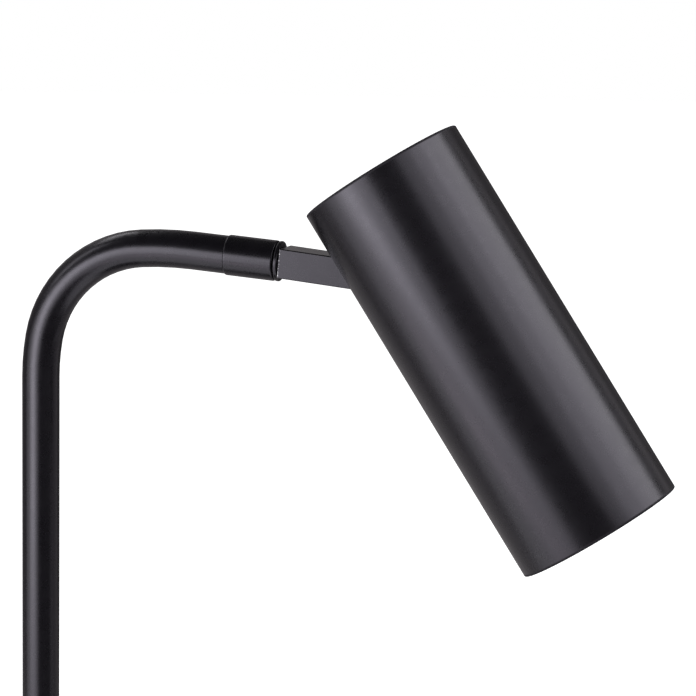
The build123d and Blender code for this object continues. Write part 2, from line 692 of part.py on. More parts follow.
def tilt_slot():
    """Opening in the shade's wall that the bar swings in, from its outer to its inner limit."""
    half_bar = BAR_HEIGHT / 2
    reach = SHADE_RADIUS - PIVOT_TO_AXIS
    ends = []
    for angle, edge in ((SHADE_TO_BAR_ANGLE - TILT_OUT_ANGLE, -1), (SHADE_TO_BAR_ANGLE + TILT_IN_ANGLE, 1)):
        turn = math.radians(angle)
        at_wall = PIVOT_BELOW_TOP - reach / math.tan(turn)
        ends.append(at_wall + edge * (half_bar / math.sin(turn) + SLOT_END_CLEARANCE))
    half_width = BAR_DEPTH / 2 + SLOT_SIDE_CLEARANCE
    slot = block((PIVOT_TO_AXIS, SHADE_RADIUS + reach), (-half_width, half_width), ends)
    return fillet(slot.edges().filter_by(Axis.X), SLOT_CORNER_RADIUS)


def shade_tube():
    """Long cylinder, open at both ends, with softened rims."""
    tube = washer(SHADE_RADIUS, SHADE_BORE_RADIUS, 0, SHADE_LENGTH)
    tube = fillet(tube.edges().filter_by(GeomType.CIRCLE), SHADE_RIM_RADIUS)
    return SHADE * (tube - tilt_slot())


def shade_cap():
    """Disc set into the shade's rear end, with heat vents and two weld studs inside."""
    cap = rod(SHADE_BORE_RADIUS - PRESS_SEAT, CAP_RECESS, CAP_UNDER)
    for x, y in around(CAP_VENT_CIRCLE, CAP_VENT_ANGLES):
        cap -= rod(CAP_VENT_RADIUS, CAP_RECESS, CAP_UNDER, x, y)
    for side in (-1, 1):
        cap += rod(CAP_STUD_RADIUS, CAP_UNDER, CAP_UNDER + CAP_STUD_LENGTH, y=side * CAP_STUD_SPACING / 2)
    return SHADE * cap


def cap_nuts():
    """Nuts that clamp the bracket's flanges to the cap."""
    low = CAP_UNDER + BRACKET_SHEET
    high = low + CAP_NUT_HEIGHT
    nut = hexagon(CAP_NUT_AF, low, high) - rod(CAP_STUD_RADIUS + THREAD_FIT, low, high)
    return group(SHADE * Pos(0, side * CAP_STUD_SPACING / 2, 0) * nut for side in (-1, 1))


def lampholder():
    """Ceramic twist-lock holder with two pin holes and a lead entry."""
    holder = rod(HOLDER_RADIUS, HOLDER_TOP, HOLDER_FACE)
    holder = chamfer(holder.edges().filter_by(GeomType.CIRCLE), HOLDER_HEIGHT / 16)
    for side in (-1, 1):
        pin_low = HOLDER_FACE - PIN_LENGTH - PIN_HOLE_CLEARANCE
        holder -= rod(PIN_HEAD_RADIUS + PIN_HOLE_CLEARANCE, pin_low, HOLDER_FACE, y=side * PIN_SPACING / 2)
        screw_x = side * HOLDER_SCREW_SPACING / 2
        screw_end = HOLDER_TOP + HOLDER_SCREW_DEPTH
        holder -= rod(HOLDER_SCREW_RADIUS + THREAD_FIT, HOLDER_TOP, screw_end, x=screw_x)
    entry_width = 2 * (LEAD_RADIUS + PIN_HOLE_CLEARANCE)
    entry = Rot(0, 0, 90) * SlotOverall(LEAD_SPACING + entry_width, entry_width)
    holder -= Pos(0, 0, HOLDER_TOP) * extrude(entry, HOLDER_LEAD_DEPTH)
    return SHADE * holder


def holder_screws():
    """Two pan-head screws through the bracket's web into the lampholder."""
    seat = BRACKET_TO_BULB
    face = seat - HOLDER_SCREW_HEAD_HEIGHT
    screw = rod(HOLDER_SCREW_HEAD_RADIUS, face, seat)
    screw = fillet(screw.edges().group_by(Axis.Z)[0], HOLDER_SCREW_HEAD_HEIGHT / 3) - driver_cross(face)
    screw += rod(HOLDER_SCREW_RADIUS, seat, HOLDER_TOP + HOLDER_SCREW_DEPTH)
    return group(SHADE * Pos(side * HOLDER_SCREW_SPACING / 2, 0, 0) * screw for side in (-1, 1))


def bulb_body():
    """Reflector bulb: a narrow neck that flares to the face, with a seat for the lens."""
    neck_end = HOLDER_FACE + BULB_NECK_LENGTH
    rim_start = BULB_FACE - BULB_RIM_LENGTH
    lens_radius = BULB_FACE_RADIUS - BULB_LIP
    lens_seat = BULB_FACE - LENS_RECESS - LENS_THICKNESS
    outline = Polyline(
        (BULB_FACE_RADIUS, rim_start),
        (BULB_FACE_RADIUS, BULB_FACE),
        (lens_radius, BULB_FACE),
        (lens_radius, lens_seat),
        (0, lens_seat),
        (0, HOLDER_FACE),
        (BULB_NECK_RADIUS, HOLDER_FACE),
        (BULB_NECK_RADIUS, neck_end),
    )
    flare = (BULB_NECK_RADIUS + BULB_FACE_RADIUS) / 2
    flare_z = (neck_end + rim_start) / 2 - BULB_BOWL
    bowl = ThreePointArc((BULB_NECK_RADIUS, neck_end), (flare, flare_z), (BULB_FACE_RADIUS, rim_start))
    return SHADE * revolve(Plane.XZ * make_face(outline.edges() + bowl.edges()), Axis.Z)


def bulb_lens():
    """Clear front disc of the bulb."""
    front = BULB_FACE - LENS_RECESS
    return SHADE * rod(BULB_FACE_RADIUS - BULB_LIP - PRESS_SEAT, front - LENS_THICKNESS, front)


def bulb_pins():
    """Two headed contact pins of the bulb."""
    tip = HOLDER_FACE - PIN_LENGTH
    pin = rod(PIN_HEAD_RADIUS, tip, tip + PIN_HEAD_LENGTH) + rod(PIN_RADIUS, tip, HOLDER_FACE)
    return group(SHADE * Pos(0, side * PIN_SPACING / 2, 0) * pin for side in (-1, 1))


# ---------------------------------------------------------------- switch


def switch_body():
    """Switch housing under the cover with a threaded collar through it, bored for the button."""
    half_x = SWITCH_LENGTH / 2
    half_y = SWITCH_WIDTH / 2
    housing = block((SWITCH_X - half_x, SWITCH_X + half_x), (-half_y, half_y), (SWITCH_Z, COVER_UNDER_Z))
    housing = fillet(housing.edges().filter_by(Axis.Z), SWITCH_FLOOR / 2)
    housing += rod(SWITCH_COLLAR_RADIUS, COVER_UNDER_Z, SWITCH_COLLAR_TOP, x=SWITCH_X)
    housing -= rod(BUTTON_BORE_RADIUS, BUTTON_SHOULDER_Z, SWITCH_COLLAR_TOP, x=SWITCH_X)
    return housing - rod(BUTTON_CHAMBER_RADIUS, CHAMBER_FLOOR_Z, BUTTON_SHOULDER_Z, x=SWITCH_X)


def switch_nut():
    """Round nut that clamps the switch to the cover."""
    top = BASE_TOP_Z + SWITCH_NUT_HEIGHT
    nut = rod(SWITCH_NUT_RADIUS, BASE_TOP_Z, top)
    nut = chamfer(nut.edges().group_by(Axis.Z)[-1], SWITCH_NUT_HEIGHT / 3)
    return Pos(SWITCH_X, 0, 0) * (nut - rod(SWITCH_COLLAR_RADIUS + THREAD_FIT, BASE_TOP_Z, top))


def push_button():
    """Button cap with a retaining flange and a guide for the spring."""
    top = SWITCH_COLLAR_TOP + BUTTON_PROUD
    guide_end = CHAMBER_FLOOR_Z + BUTTON_TRAVEL + BUTTON_CLEARANCE
    cap = rod(BUTTON_RADIUS, BUTTON_FLANGE_Z, top)
    cap = fillet(cap.edges().group_by(Axis.Z)[-1], BUTTON_EDGE_RADIUS)
    cap += rod(BUTTON_FLANGE_RADIUS, BUTTON_FLANGE_Z, BUTTON_SHOULDER_Z)
    return Pos(SWITCH_X, 0, 0) * (cap + rod(BUTTON_GUIDE_RADIUS, guide_end, BUTTON_FLANGE_Z))


def button_spring():
    """Coil spring between the chamber's floor and the button's flange."""
    low = CHAMBER_FLOOR_Z + SPRING_WIRE / 2
    rise = BUTTON_FLANGE_Z - SPRING_WIRE / 2 - low
    helix = Helix(rise / SPRING_TURNS, rise, SPRING_RADIUS)
    section = Plane(origin=helix @ 0, z_dir=helix % 0) * Circle(SPRING_WIRE / 2)
    return Pos(SWITCH_X, 0, low) * sweep(section, helix, is_frenet=True)


def switch_lugs():
    """Four brass solder lugs under the switch."""
    lugs = []
    for end in (-1, 1):
        x = SWITCH_X + end * (SWITCH_LENGTH / 2 - LUG_INSET)
        for side in (-1, 1):
            y = side * LUG_SPACING / 2
            half = LUG_WIDTH / 2
            x_range = (x - LUG_THICKNESS / 2, x + LUG_THICKNESS / 2)
            lugs.append(block(x_range, (y - half, y + half), (SWITCH_Z - LUG_LENGTH, SWITCH_Z)))
    return group(lugs)


# ---------------------------------------------------------------- leads


def lamp_leads():
    """Two insulated leads, from the switch up the stem, through the swivel and the bar to the lampholder."""
    lug_face = SWITCH_X - SWITCH_LENGTH / 2 + LUG_INSET - LUG_THICKNESS / 2
    turn_point = crossing(ARM_END, ARM_DIRECTION, SHADE_TOP, SHADE_DIRECTION)
    lead_end = SHADE_TOP + SHADE_DIRECTION * (HOLDER_TOP + HOLDER_LEAD_DEPTH)
    leads = []
    for side in (-1, 1):
        near = side * LEAD_SPACING / 2
        wide = side * LUG_SPACING / 2
        arcs, bend_end, _ = stem_bend(near)
        start = Vector(lug_face, wide, LEAD_BASE_Z)
        below = FilletPolyline(
            start,
            Vector(LEAD_FAN_X[1], wide, LEAD_BASE_Z),
            Vector(LEAD_FAN_X[0], near, LEAD_BASE_Z),
            Vector(0, near, LEAD_BASE_Z),
            Vector(0, near, BEND_START_Z),
            radius=[LEAD_FAN_RADIUS, LEAD_FAN_RADIUS, LEAD_FOOT_RADIUS],
        )
        beyond = FilletPolyline(
            bend_end,
            Vector(turn_point.X, near, turn_point.Z),
            Vector(lead_end.X, near, lead_end.Z),
            radius=LEAD_HOLDER_RADIUS,
        )
        path = Wire([*below.edges(), *arcs, *beyond.edges()])
        section = Plane(origin=start, z_dir=(-1, 0, 0)) * Circle(LEAD_RADIUS)
        leads.append(sweep(section, path))
    return group(leads)


# ---------------------------------------------------------------- all nodes

NODES = (
    base_cover,
    base_weight,
    base_plate,
    felt_pad,
    base_plate_screws,
    cord_inlet_bush,
    cord_inlet_nut,
    stem_foot,
    stem_washer,
    stem_nut,
    stem_tube,
    arm_socket,
    stop_pin,
    swivel_core,
    swivel_washer,
    swivel_nut,
    head_bar,
    friction_washers,
    pivot_spring_washers,
    pivot_screws,
    tilt_bracket,
    shade_tube,
    shade_cap,
    cap_nuts,
    lampholder,
    holder_screws,
    bulb_body,
    bulb_lens,
    bulb_pins,
    switch_body,
    switch_nut,
    push_button,
    button_spring,
    switch_lugs,
    lamp_leads,
)

os.makedirs("parts", exist_ok=True)
for make in NODES:
    export_step(make(), f"parts/{make.__name__}.step")

print("swivel point", tuple(ARM_END), "direction", tuple(ARM_DIRECTION))
print("tilt pivot", tuple(PIVOT))
print("shade top", tuple(SHADE_TOP), "direction", tuple(SHADE_DIRECTION))
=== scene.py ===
import math

import bmesh
import bpy
from mathutils import Matrix, Vector


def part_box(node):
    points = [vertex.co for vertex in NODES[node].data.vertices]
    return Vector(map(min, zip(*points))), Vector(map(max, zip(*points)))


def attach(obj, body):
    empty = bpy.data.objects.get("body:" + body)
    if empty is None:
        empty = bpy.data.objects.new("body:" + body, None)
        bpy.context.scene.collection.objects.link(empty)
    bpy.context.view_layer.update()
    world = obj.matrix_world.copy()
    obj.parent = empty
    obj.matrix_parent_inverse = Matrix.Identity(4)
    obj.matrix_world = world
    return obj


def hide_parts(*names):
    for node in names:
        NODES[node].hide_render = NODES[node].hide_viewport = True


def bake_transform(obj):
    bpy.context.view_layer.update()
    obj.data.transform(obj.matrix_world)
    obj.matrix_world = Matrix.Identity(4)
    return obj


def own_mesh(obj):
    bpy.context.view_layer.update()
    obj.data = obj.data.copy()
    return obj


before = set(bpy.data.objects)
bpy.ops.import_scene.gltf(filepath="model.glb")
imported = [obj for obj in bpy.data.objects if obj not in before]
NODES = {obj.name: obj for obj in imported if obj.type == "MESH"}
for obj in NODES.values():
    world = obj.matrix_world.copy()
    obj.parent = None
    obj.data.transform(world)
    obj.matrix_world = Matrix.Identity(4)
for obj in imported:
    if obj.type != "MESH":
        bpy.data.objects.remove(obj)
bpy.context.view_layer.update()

# A black piano lamp in a white studio. Metres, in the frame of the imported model.

# ---------------------------------------------------------------- camera

CAMERA_PLACE = (0.32475, -0.85329, 0.47130)
CAMERA_RIGHT = (0.96909078, 0.24623997, 0.01513078)
CAMERA_UP = (-0.04681574, 0.12333563, 0.99126011)
FOCAL_PIXELS = 2639.84
IMAGE_PIXELS = 696
SENSOR_MM = 36.0
CLIP_END = 100.0


def make_camera():
    """Camera at the photograph's viewing angle."""
    right = Vector(CAMERA_RIGHT).normalized()
    up = Vector(CAMERA_UP)
    up = (up - right * up.dot(right)).normalized()
    back = right.cross(up)
    data = bpy.data.cameras.new("camera")
    data.sensor_width = SENSOR_MM
    data.lens = FOCAL_PIXELS / IMAGE_PIXELS * SENSOR_MM
    data.clip_end = CLIP_END
    camera = bpy.data.objects.new("camera", data)
    axes = Matrix((right, up, back)).transposed()
    camera.matrix_world = Matrix.Translation(CAMERA_PLACE) @ axes.to_4x4()
    bpy.context.scene.collection.objects.link(camera)
    bpy.context.scene.camera = camera


# ---------------------------------------------------------------- steps of a shader

# where most of a noise's values lie
NOISE_LIMITS = (0.3, 0.7)
# how far the real and the rounded normal agree, on a sharp edge and on a plain face
EDGE_LIMITS = (0.9, 0.995)
BEVEL_SAMPLES = 6
# share of the reach, from a tube's end, that is fully matt
MATT_SHARE = 0.6


def own_place(tree):
    """The spot of the surface in the piece's own coordinates."""
    return tree.nodes.new("ShaderNodeTexCoord").outputs["Object"]


def step(tree, kind, operation, values):
    """A node of arithmetic on values, each a constant or a socket."""
    node = tree.nodes.new(kind)
    node.operation = operation
    for socket, value in zip(node.inputs, values):
        if isinstance(value, bpy.types.NodeSocket):
            tree.links.new(value, socket)
        else:
            socket.default_value = value
    return node


def calculate(tree, operation, *values):
    """One step of arithmetic on numbers."""
    return step(tree, "ShaderNodeMath", operation, values).outputs[0]


def measure(tree, operation, *vectors):
    """A length or a dot product."""
    return step(tree, "ShaderNodeVectorMath", operation, vectors).outputs["Value"]


def distance_along(tree, point, direction):
    """How far the spot lies past a point, measured in a direction."""
    away = step(tree, "ShaderNodeVectorMath", "SUBTRACT", (own_place(tree), point))
    return measure(tree, "DOT_PRODUCT", away.outputs["Vector"], direction)


def ramp(tree, value, low, high, from_low=NOISE_LIMITS[0], from_high=NOISE_LIMITS[1]):
    """A value mapped from one range to another and held within it."""
    node = tree.nodes.new("ShaderNodeMapRange")
    node.inputs["From Min"].default_value = from_low
    node.inputs["From Max"].default_value = from_high
    node.inputs["To Min"].default_value = low
    node.inputs["To Max"].default_value = high
    tree.links.new(value, node.inputs["Value"])
    return node.outputs[0]


def noise(tree, scale, detail, roughness=0.5, swirl=0.0):
    """Noise in the piece's own coordinates, with features of about 1 / scale metres."""
    texture = tree.nodes.new("ShaderNodeTexNoise")
    texture.inputs["Scale"].default_value = scale
    texture.inputs["Detail"].default_value = detail
    texture.inputs["Roughness"].default_value = roughness
    texture.inputs["Distortion"].default_value = swirl
    tree.links.new(own_place(tree), texture.inputs["Vector"])
    return texture.outputs["Fac"]


def blend_colours(tree, factor, first, second):
    """Mix of two colours, each a colour or a socket."""
    node = tree.nodes.new("ShaderNodeMix")
    node.data_type = "RGBA"
    for socket, value in ((node.inputs["A"], first), (node.inputs["B"], second)):
        if isinstance(value, tuple):
            socket.default_value = (*value, 1)
        else:
            tree.links.new(value, socket)
    tree.links.new(factor, node.inputs["Factor"])
    return node.outputs["Result"]


def bump(tree, shader, height, distance, before=None):
    """Bump of a real height in metres, stacked on an earlier one."""
    node = tree.nodes.new("ShaderNodeBump")
    node.inputs["Distance"].default_value = distance
    node.inputs["Strength"].default_value = 1.0
    tree.links.new(height, node.inputs["Height"])
    if before is not None:
        tree.links.new(before, node.inputs["Normal"])
    tree.links.new(node.outputs[0], shader.inputs["Normal"])
    return node.outputs[0]


def edges(tree, width):
    """1 on sharp edges and 0 away from them: where a rounded copy's normal departs from the real one."""
    bevel = tree.nodes.new("ShaderNodeBevel")
    bevel.samples = BEVEL_SAMPLES
    bevel.inputs["Radius"].default_value = width
    real = tree.nodes.new("ShaderNodeNewGeometry").outputs["Normal"]
    agreement = measure(tree, "DOT_PRODUCT", bevel.outputs[0], real)
    return ramp(tree, agreement, 1.0, 0.0, *EDGE_LIMITS)


def near_ends(tree, point, direction, length, reach):
    """1 within reach of a tube's two ends and 0 between them."""
    half = length / 2
    away = calculate(tree, "ABSOLUTE", distance_along(tree, point + direction * half, direction))
    return ramp(tree, away, 0.0, 1.0, half - reach, half - reach * MATT_SHARE)


def dimples(tree, first, second, pitch):
    """A lattice of small hollows and swells in the plane of two directions, from -1 to 1."""
    waves = []
    for direction in (first, second):
        along = measure(tree, "DOT_PRODUCT", own_place(tree), direction)
        turn = calculate(tree, "MULTIPLY", along, 2 * math.pi / pitch)
        waves.append(calculate(tree, "SINE", turn))
    return calculate(tree, "MULTIPLY", *waves)


# ---------------------------------------------------------------- studio

FLOOR_RADIUS = 12.0
FLOOR_SIDES = 96
FLOOR_LEVEL = -0.0002
FLOOR_COLOUR = (0.80, 0.80, 0.80, 1)
FLOOR_ROUGHNESS = 0.9
# the floor's glow, which rises from the lamp outwards between two distances
FLOOR_GLOW_NEAR = 0.40
FLOOR_GLOW_FAR = 1.0
FLOOR_GLOW_FROM = 0.45
FLOOR_GLOW_TO = 0.85
WORLD_FILL = 0.30

# soft boxes: (place, aim, width, height, radiance)
SOFT_BOXES = {
    "window_upper": ((-0.287, -0.547, 0.415), (0.184, 0.335, 0.415), 0.69, 0.23, 2.6),
    "window_lower": ((-0.313, -0.533, 0.185), (0.158, 0.349, 0.185), 0.47, 0.23, 2.2),
    "window_core": ((-0.287, -0.516, 0.330), (0.184, 0.366, 0.330), 0.24, 0.34, 2.9),
    "side_box": ((1.162, 0.168, 0.999), (0.17, 0.0, 0.35), 0.81, 0.90, 3.6),
    "middle_box": ((1.140, -0.430, 0.900), (0.17, 0.0, 0.35), 0.45, 1.00, 2.7),
    "front_box": ((0.860, -0.760, 0.760), (0.17, 0.0, 0.35), 0.50, 0.92, 1.5),
    "rear_box": ((-1.000, 0.600, 1.350), (0.10, 0.0, 0.30), 0.90, 0.80, 3.4),
    "left_box": ((-1.250, -0.450, 1.200), (0.10, 0.0, 0.30), 0.50, 0.80, 2.4),
}

# standing cards round the set, seen only in reflections:
# (from and to, in degrees from -Y towards +X, distance, height, grey)
CARDS = (
    (3, 40, 0.60, 0.30, 0.08),
    (3, 42, 0.61, 0.62, 0.15),
    (40, 80, 0.60, 0.41, 0.09),
    (80, 128, 0.95, 0.56, 0.34),
    (128, 139, 0.95, 1.30, 0.50),
    (139, 185, 0.95, 1.30, 0.10),
    (185, 230, 0.95, 1.30, 0.29),
    (230, 285, 0.95, 1.30, 0.16),
)
CARD_TINT = (1.03, 0.975, 1.0)
# cards that lie on the floor, seen only in reflections: (outline, grey); the first three are painted shade
# on the floor, and the last two glow above white as painted pools of light
FLOOR_SHADE_AND_LIGHT_CARDS = (
    (((-0.8, 0.06), (0.8, 0.06), (0.8, 0.9), (-0.8, 0.9)), 0.36),
    (((0.02, -0.62), (0.8, -0.62), (0.8, 0.05), (0.36, 0.05), (0.30, -0.22), (0.02, -0.36)), 0.12),
    (((-0.9, -0.34), (-0.46, -0.15), (-0.2, -0.05), (-0.2, 0.06), (-0.9, 0.06)), 0.45),
    (((-0.35, -0.25), (-0.47, -0.42), (-0.20, -0.57), (-0.24, -0.34)), 3.5),
    (((-0.20, -0.57), (-0.02, -0.68), (0.0, -0.42), (-0.21, -0.34)), 2.2),
)
FLOOR_CARD_HEIGHT = 0.001
CEILING_HEIGHT = 1.9
CEILING_REACH = 12.0
CEILING_GREY = 0.05


def seen_rays(tree):
    """1 for camera, glossy and transmission rays, which see the white background, and 0 for the rest."""
    path = tree.nodes.new("ShaderNodeLightPath").outputs
    seen = calculate(tree, "MAXIMUM", path["Is Camera Ray"], path["Is Glossy Ray"])
    return calculate(tree, "MAXIMUM", seen, path["Is Transmission Ray"])


def make_world():
    """White to the camera and in reflections, and a weak even fill for the object."""
    world = bpy.data.worlds.new("studio")
    world.use_nodes = True
    tree = world.node_tree
    background = tree.nodes["Background"]
    background.inputs["Color"].default_value = (1, 1, 1, 1)
    strength = ramp(tree, seen_rays(tree), WORLD_FILL, 1.0, 0.0, 1.0)
    tree.links.new(strength, background.inputs["Strength"])
    bpy.context.scene.world = world


def stage_mesh(name, points, material):
    """One flat polygon that belongs to the set and not to the lamp."""
    mesh = bpy.data.meshes.new(name)
    mesh.from_pydata(points, [], [list(range(len(points)))])
    mesh.materials.append(material)
    thing = bpy.data.objects.new(name, mesh)
    bpy.context.scene.collection.objects.link(thing)
    return thing


def make_floor():
    """Pale floor that shows white, with the lamp's shadow where the lamp stands."""
    material = bpy.data.materials.new("floor")
    material.use_nodes = True
    tree = material.node_tree
    surface = tree.nodes["Principled BSDF"]
    surface.inputs["Base Color"].default_value = FLOOR_COLOUR
    surface.inputs["Roughness"].default_value = FLOOR_ROUGHNESS
    surface.inputs["Specular IOR Level"].default_value = 0.0
    surface.inputs["Emission Color"].default_value = (1, 1, 1, 1)
    away = measure(tree, "LENGTH", own_place(tree))
    glow = ramp(tree, away, FLOOR_GLOW_NEAR, FLOOR_GLOW_FAR, FLOOR_GLOW_FROM, FLOOR_GLOW_TO)
    seen_glow = calculate(tree, "MULTIPLY", seen_rays(tree), glow)
    tree.links.new(seen_glow, surface.inputs["Emission Strength"])
    turns = [2 * math.pi * i / FLOOR_SIDES for i in range(FLOOR_SIDES)]
    rim = [(FLOOR_RADIUS * math.cos(t), FLOOR_RADIUS * math.sin(t), FLOOR_LEVEL) for t in turns]
    stage_mesh("floor", rim, material)


def soft_box(name, place, aim, width, height, radiance):
    """Area lamp that faces a point."""
    away = Vector(place) - Vector(aim)
    data = bpy.data.lights.new(name, "AREA")
    data.shape = "RECTANGLE"
    data.size = width
    data.size_y = height
    data.energy = radiance * math.pi * width * height
    box = bpy.data.objects.new(name, data)
    box.matrix_world = Matrix.Translation(place) @ away.to_track_quat("Z", "Y").to_matrix().to_4x4()
    box.visible_camera = False
    bpy.context.scene.collection.objects.link(box)


def card(name, corners, grey):
    """Card beside the set that glows at its own grey, seen only in reflections: a painted reflection that
    shapes what a black object reflects, as a photographer's cards do.
    """
    material = bpy.data.materials.new(name)
    material.use_nodes = True
    tree = material.node_tree
    tree.nodes.clear()
    glow = tree.nodes.new("ShaderNodeEmission")
    glow.inputs["Color"].default_value = (*(grey * part for part in CARD_TINT), 1)
    out = tree.nodes.new("ShaderNodeOutputMaterial")
    tree.links.new(glow.outputs[0], out.inputs["Surface"])
    thing = stage_mesh(name, corners, material)
    for ray in ("camera", "diffuse", "transmission", "volume_scatter", "shadow"):
        setattr(thing, f"visible_{ray}", False)


def make_studio():
    """World, floor, soft boxes, and the cards round the set, on the floor and under the ceiling."""
    make_world()
    make_floor()
    for name, values in SOFT_BOXES.items():
        soft_box(name, *values)
    for index, (start, end, distance, height, grey) in enumerate(CARDS):
        turns = [math.radians(a) for a in (start, end)]
        ends = [(distance * math.sin(t), -distance * math.cos(t)) for t in turns]
        low = [(x, y, 0.0) for x, y in ends]
        high = [(x, y, height) for x, y in reversed(ends)]
        card(f"card_{index}", low + high, grey)
    # cards on the floor: painted shade and painted pools of light, seen only in reflections
    for index, (outline, grey) in enumerate(FLOOR_SHADE_AND_LIGHT_CARDS):
        card(f"floor_card_{index}", [(x, y, FLOOR_CARD_HEIGHT) for x, y in outline], grey)
    reach = CEILING_REACH
    corners = [(-reach, -reach), (reach, -reach), (reach, reach), (-reach, reach)]
    card("ceiling_card", [(x, y, CEILING_HEIGHT) for x, y in corners], CEILING_GREY)


# ---------------------------------------------------------------- materials

# places and directions on the lamp
ARM_END = Vector((0.0672457, 0.0, 0.3848339))
ARM_DIRECTION = Vector((0.9967789, 0.0, -0.0801989))
ARM_END_TO_BAR = 0.0197
SHADE_TOP = Vector((0.1200255, 0.0, 0.4148441))
SHADE_DIRECTION = Vector((0.5475632, 0.0, -0.8367643))
SHADE_LENGTH = 0.140

# every pattern: (features in a metre, detail), and for felt also (roughness, swirl)

# black powder coat
COAT_COLOUR = (0.002, 0.002, 0.002)
COAT_ROUGHNESS = 0.28
COAT_SPECULAR_TINT = (0.915, 0.868, 1.0, 1)
COAT_MOTTLE = (60, 4)
COAT_MOTTLE_COLOURS = ((0.0016, 0.0014, 0.0022), (0.0026, 0.0023, 0.0034))
COAT_GLOSS = (240, 3)
COAT_GLOSS_RANGE = (0.26, 0.30)
COAT_PEEL = (1100, 2)
COAT_PEEL_HEIGHT = 0.000003
COAT_FINE_PEEL = (4200, 1)
COAT_FINE_PEEL_HEIGHT = 0.0000015
# rubbed edges, bare spots at the bar's end and the shade's matt rims
WEAR_WIDTH = 0.0004
WEAR_SPOTS = (900, 3)
WEAR_LIMITS = (0.45, 0.65)
WEAR_MOST = 0.06
WEAR_COLOUR = (0.03, 0.029, 0.028)
CHIP_SPOTS = (2400, 3)
CHIP_LIMITS = (0.38, 0.50)
CHIP_COLOUR = (0.34, 0.34, 0.35)
CHIP_REACH = 0.0012
MATT_REACH = 0.0010
MATT_ROUGHNESS = 0.55

# bare metals: (colour, roughness)
METALS = {
    "zinc_plate": ((0.60, 0.61, 0.62), 0.32),
    "spring_steel": ((0.42, 0.42, 0.43), 0.30),
    "brass": ((0.74, 0.54, 0.25), 0.28),
}
METAL_CLOUD = (180, 4)
METAL_DARKEST = 0.78
METAL_GRAIN = (2200, 3)
METAL_GRAIN_HEIGHT = 0.00001
METAL_SPREAD = 0.08

# moulded and cast pieces: (colour, roughness, features in a metre of the grain, its height)
MOULDED = {
    "cast_iron": ((0.045, 0.045, 0.047), 0.75, 700, 0.00012),
    "black_plastic": ((0.016, 0.016, 0.017), 0.50, 1800, 0.000012),
    "button_plastic": ((0.018, 0.018, 0.019), 0.33, 1800, 0.000012),
    "red_fibre": ((0.30, 0.12, 0.06), 0.70, 1800, 0.000012),
    "white_ceramic": ((0.78, 0.76, 0.71), 0.45, 900, 0.00003),
    "bulb_white": ((0.80, 0.80, 0.78), 0.35, 1800, 0.000012),
    "lead_sleeve": ((0.60, 0.58, 0.54), 0.60, 1800, 0.000012),
}
MOULDED_CLOUD = (120, 4)
MOULDED_DARKEST = 0.82
MOULDED_GLOSS = (400, 3)
MOULDED_SPREAD = 0.06
MOULDED_GRAIN_DETAIL = 2

# felt; the fibre colour is a painted highlight, laid on the raised fibres of the pile
FELT_COLOUR = (0.02, 0.02, 0.021)
FELT_ROUGHNESS = 0.95
FELT_PATCHES = (45, 4)
FELT_PATCH_COLOURS = ((0.010, 0.010, 0.011), (0.021, 0.020, 0.020))
FELT_FIBRES = (520, 7, 0.78, 3.2)
FELT_FIBRE_HIGHLIGHT_LIMITS = (0.42, 0.66)
FELT_FIBRE_HIGHLIGHT_COLOUR = (0.085, 0.083, 0.080)
FELT_LINT = (650, 2, 0.5, 1.5)
FELT_LINT_LIMITS = (0.72, 0.76)
FELT_LINT_MOST = 0.7
FELT_LINT_COLOUR = (0.30, 0.29, 0.28)
FELT_SHEEN = 0.3
FELT_PILE_HEIGHT = 0.0005

# the bulb's lens
LENS_COLOUR = (0.93, 0.95, 0.95)
LENS_ROUGHNESS = 0.05
LENS_GLOSS = (500, 3)
LENS_GLOSS_RANGE = (0.03, 0.08)
LENS_TRANSMISSION = 0.92
LENS_IOR = 1.49
LENS_PITCH = 0.0052
LENS_DEPTH = 0.00025

# the nodes that have each material
FINISHES = {
    "black_powder_coat": (
        "base_cover", "stem_foot", "stem_tube", "arm_socket", "swivel_core", "shade_cap", "switch_nut",
    ),
    "black_powder_coat_shade": ("shade_tube",),
    "black_powder_coat_bar": ("head_bar",),
    "zinc_plate": (
        "base_plate", "base_plate_screws", "stem_washer", "stem_nut", "pivot_screws", "tilt_bracket",
        "cap_nuts", "holder_screws",
    ),
    "spring_steel": ("stop_pin", "swivel_washer", "pivot_spring_washers", "button_spring"),
    "brass": ("swivel_nut", "switch_lugs", "bulb_pins"),
    "cast_iron": ("base_weight",),
    "black_felt": ("felt_pad",),
    "black_plastic": ("cord_inlet_bush", "cord_inlet_nut", "switch_body"),
    "button_plastic": ("push_button",),
    "red_fibre": ("friction_washers",),
    "white_ceramic": ("lampholder",),
    "bulb_white": ("bulb_body",),
    "lens_glass": ("bulb_lens",),
    "lead_sleeve": ("lamp_leads",),
}


def principled(name, colour, roughness, metallic=0.0):
    """New material with its Principled shader."""
    material = bpy.data.materials.new(name)
    material.use_nodes = True
    shader = material.node_tree.nodes["Principled BSDF"]
    shader.inputs["Base Color"].default_value = (*colour, 1)
    shader.inputs["Roughness"].default_value = roughness
    shader.inputs["Metallic"].default_value = metallic
    return material, material.node_tree, shader


def darker(colour, share):
    """A colour with a share of its brightness."""
    return tuple(part * share for part in colour)


def chips(tree, point, direction, reach):
    """1 on small bare spots close to a cut end and 0 elsewhere."""
    near = ramp(tree, distance_along(tree, point, direction), 1.0, 0.0, 0.0, reach)
    spots = calculate(tree, "MULTIPLY", near, noise(tree, *CHIP_SPOTS))
    return ramp(tree, spots, 0.0, 1.0, *CHIP_LIMITS)


